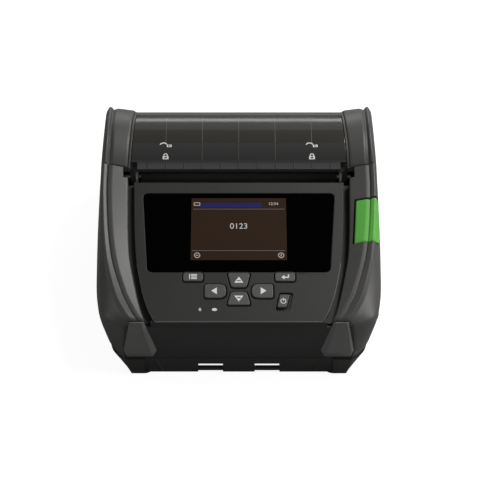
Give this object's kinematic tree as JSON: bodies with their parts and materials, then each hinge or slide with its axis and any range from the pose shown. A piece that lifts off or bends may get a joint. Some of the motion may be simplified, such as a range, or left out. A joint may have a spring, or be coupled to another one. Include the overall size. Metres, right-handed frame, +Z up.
{
  "type": "portable label printer",
  "caption": "Mobile printer for labels about four inches wide: hinged clear cover with platen, sloping panel with screen and keys, ribbed side guards, green release latch.",
  "frame": {"origin": "on the table under the middle of the object's box", "axes": "+X to the viewer's right, +Y to the rear, +Z up"},
  "size_m": [0.1524, 0.162, 0.0813],
  "materials": {
    "casing": "fine moulded texture",
    "guard": "fine moulded texture",
    "latch_green": "satin",
    "rubber_black": "matte",
    "steel": "satin",
    "screen_gloss": "gloss",
    "display": "gloss",
    "board": "satin",
    "keys": "matte",
    "lights": "gloss",
    "clear_tint": "gloss, smoke tinted",
    "platen_rubber": "ground",
    "nylon": "satin",
    "motor_can": "satin",
    "sensor": "satin",
    "head_ceramic": "glazed",
    "sink": "satin",
    "battery_case": "fine moulded texture",
    "contacts": "satin"
  },
  "bodies": {
    "printer_body": {"base_shell": "casing", "main_housing": "casing", "control_panel": "casing", "battery_tray": "casing", "media_bay": "casing", "side_guard_left": "guard", "side_guard_right": "guard", "corner_bumper_left": "guard", "corner_bumper_right": "guard", "rubber_feet": "rubber_black", "case_screws": "steel", "hinge_pin": "steel", "gear_axles": "steel", "guide_rails": "steel", "guide_post": "steel", "head_pivot_pin": "steel", "head_bracket": "steel", "head_springs": "steel", "gear_plate": "steel", "usb_socket": "steel", "tear_bar": "steel", "display_window": "screen_gloss", "display_module": "display", "keypad_board": "board", "main_board": "board", "port_board": "board", "status_lights": "lights", "feed_motor": "motor_can", "label_sensor": "sensor", "battery_contacts": "contacts"},
    "cover": {"cover_frame": "casing", "cover_window": "clear_tint", "platen_bushes": "nylon"},
    "platen": {"platen_roller": "platen_rubber", "platen_shaft": "steel", "platen_gear": "nylon"},
    "idler_upper": {"idler_gear_upper": "nylon"},
    "idler_lower": {"idler_gear_lower": "nylon"},
    "motor_rotor": {"motor_pinion": "nylon", "motor_shaft": "steel"},
    "head": {"printhead": "head_ceramic", "head_heatsink": "sink"},
    "guide_left": {"media_guide_left": "nylon"},
    "guide_right": {"media_guide_right": "nylon"},
    "guide_gear": {"guide_pinion": "nylon"},
    "latch": {"release_latch": "latch_green", "latch_hook": "latch_green"},
    "battery": {"battery_pack": "battery_case"},
    "port_flap": {"port_cover": "rubber_black"},
    "key_menu_body": {"key_menu": "keys"},
    "key_enter_body": {"key_enter": "keys"},
    "key_up_body": {"key_up": "keys"},
    "key_down_body": {"key_down": "keys"},
    "key_left_body": {"key_left": "keys"},
    "key_right_body": {"key_right": "keys"},
    "key_power_body": {"key_power": "keys"}
  },
  "joints": [
    {"name": "cover_hinge", "type": "hinge", "parent": "printer_body", "child": "cover", "pos_m": [0, 0.0755, 0.0445], "axis": [-1, 0, 0], "range_deg": [0, 100]},
    {"name": "platen_spin", "type": "hinge", "parent": "cover", "child": "platen", "pos_m": [0, 0.016, 0.057], "axis": [1, 0, 0], "continuous": true},
    {"name": "idler_upper_spin", "type": "hinge", "parent": "printer_body", "child": "idler_upper", "pos_m": [0, 0.01271, 0.04134], "axis": [1, 0, 0], "continuous": true},
    {"name": "idler_lower_spin", "type": "hinge", "parent": "printer_body", "child": "idler_lower", "pos_m": [0, -0.00506, 0.03658], "axis": [1, 0, 0], "continuous": true},
    {"name": "motor_spin", "type": "hinge", "parent": "printer_body", "child": "motor_rotor", "pos_m": [0, -0.01743, 0.03327], "axis": [1, 0, 0], "continuous": true},
    {"name": "head_pivot", "type": "hinge", "parent": "printer_body", "child": "head", "pos_m": [0, 0.01328, 0.04507], "axis": [1, 0, 0], "range_deg": [0, 3], "stiffness_Nm_per_rad": 5},
    {"name": "guide_left_slide", "type": "slide", "parent": "printer_body", "child": "guide_left", "axis": [1, 0, 0], "range_m": [0, 0.028]},
    {"name": "guide_right_slide", "type": "slide", "parent": "printer_body", "child": "guide_right", "axis": [1, 0, 0], "range_m": [-0.028, 0]},
    {"name": "guide_pinion_spin", "type": "hinge", "parent": "printer_body", "child": "guide_gear", "pos_m": [0, 0.043, 0.005], "axis": [0, 0, 1], "range_deg": [-290, 0]},
    {"name": "latch_press", "type": "hinge", "parent": "printer_body", "child": "latch", "pos_m": [0.07572, -0.0241, 0.05244], "axis": [0, -0.9555, -0.2949], "range_deg": [0, 6], "stiffness_Nm_per_rad": 0.5},
    {"name": "battery_slide", "type": "slide", "parent": "printer_body", "child": "battery", "axis": [0, 0, -1], "range_m": [0, 0.022]},
    {"name": "port_flap_hinge", "type": "hinge", "parent": "printer_body", "child": "port_flap", "pos_m": [0.07153, -0.058, 0.0178], "axis": [0.1366, 0.9906, 0], "range_deg": [0, 85]},
    {"name": "key_menu_press", "type": "slide", "parent": "printer_body", "child": "key_menu_body", "axis": [0, 0.2949, -0.9555], "range_m": [0, 0.0007], "stiffness_N_per_m": 800},
    {"name": "key_enter_press", "type": "slide", "parent": "printer_body", "child": "key_enter_body", "axis": [0, 0.2949, -0.9555], "range_m": [0, 0.0007], "stiffness_N_per_m": 800},
    {"name": "key_up_press", "type": "slide", "parent": "printer_body", "child": "key_up_body", "axis": [0, 0.2949, -0.9555], "range_m": [0, 0.0007], "stiffness_N_per_m": 800},
    {"name": "key_down_press", "type": "slide", "parent": "printer_body", "child": "key_down_body", "axis": [0, 0.2949, -0.9555], "range_m": [0, 0.0007], "stiffness_N_per_m": 800},
    {"name": "key_left_press", "type": "slide", "parent": "printer_body", "child": "key_left_body", "axis": [0, 0.2949, -0.9555], "range_m": [0, 0.0007], "stiffness_N_per_m": 800},
    {"name": "key_right_press", "type": "slide", "parent": "printer_body", "child": "key_right_body", "axis": [0, 0.2949, -0.9555], "range_m": [0, 0.0007], "stiffness_N_per_m": 800},
    {"name": "key_power_press", "type": "slide", "parent": "printer_body", "child": "key_power_body", "axis": [0, 0.2949, -0.9555], "range_m": [0, 0.0007], "stiffness_N_per_m": 800}
  ],
  "couplings": [
    {"joint": "idler_upper_spin", "follows": "platen_spin", "ratio": -0.66667},
    {"joint": "idler_lower_spin", "follows": "platen_spin", "ratio": 0.72727},
    {"joint": "motor_spin", "follows": "platen_spin", "ratio": -1.6},
    {"joint": "guide_right_slide", "follows": "guide_left_slide", "ratio": -1},
    {"joint": "guide_pinion_spin", "follows": "guide_left_slide", "rad_per_m": -178.57}
  ]
}
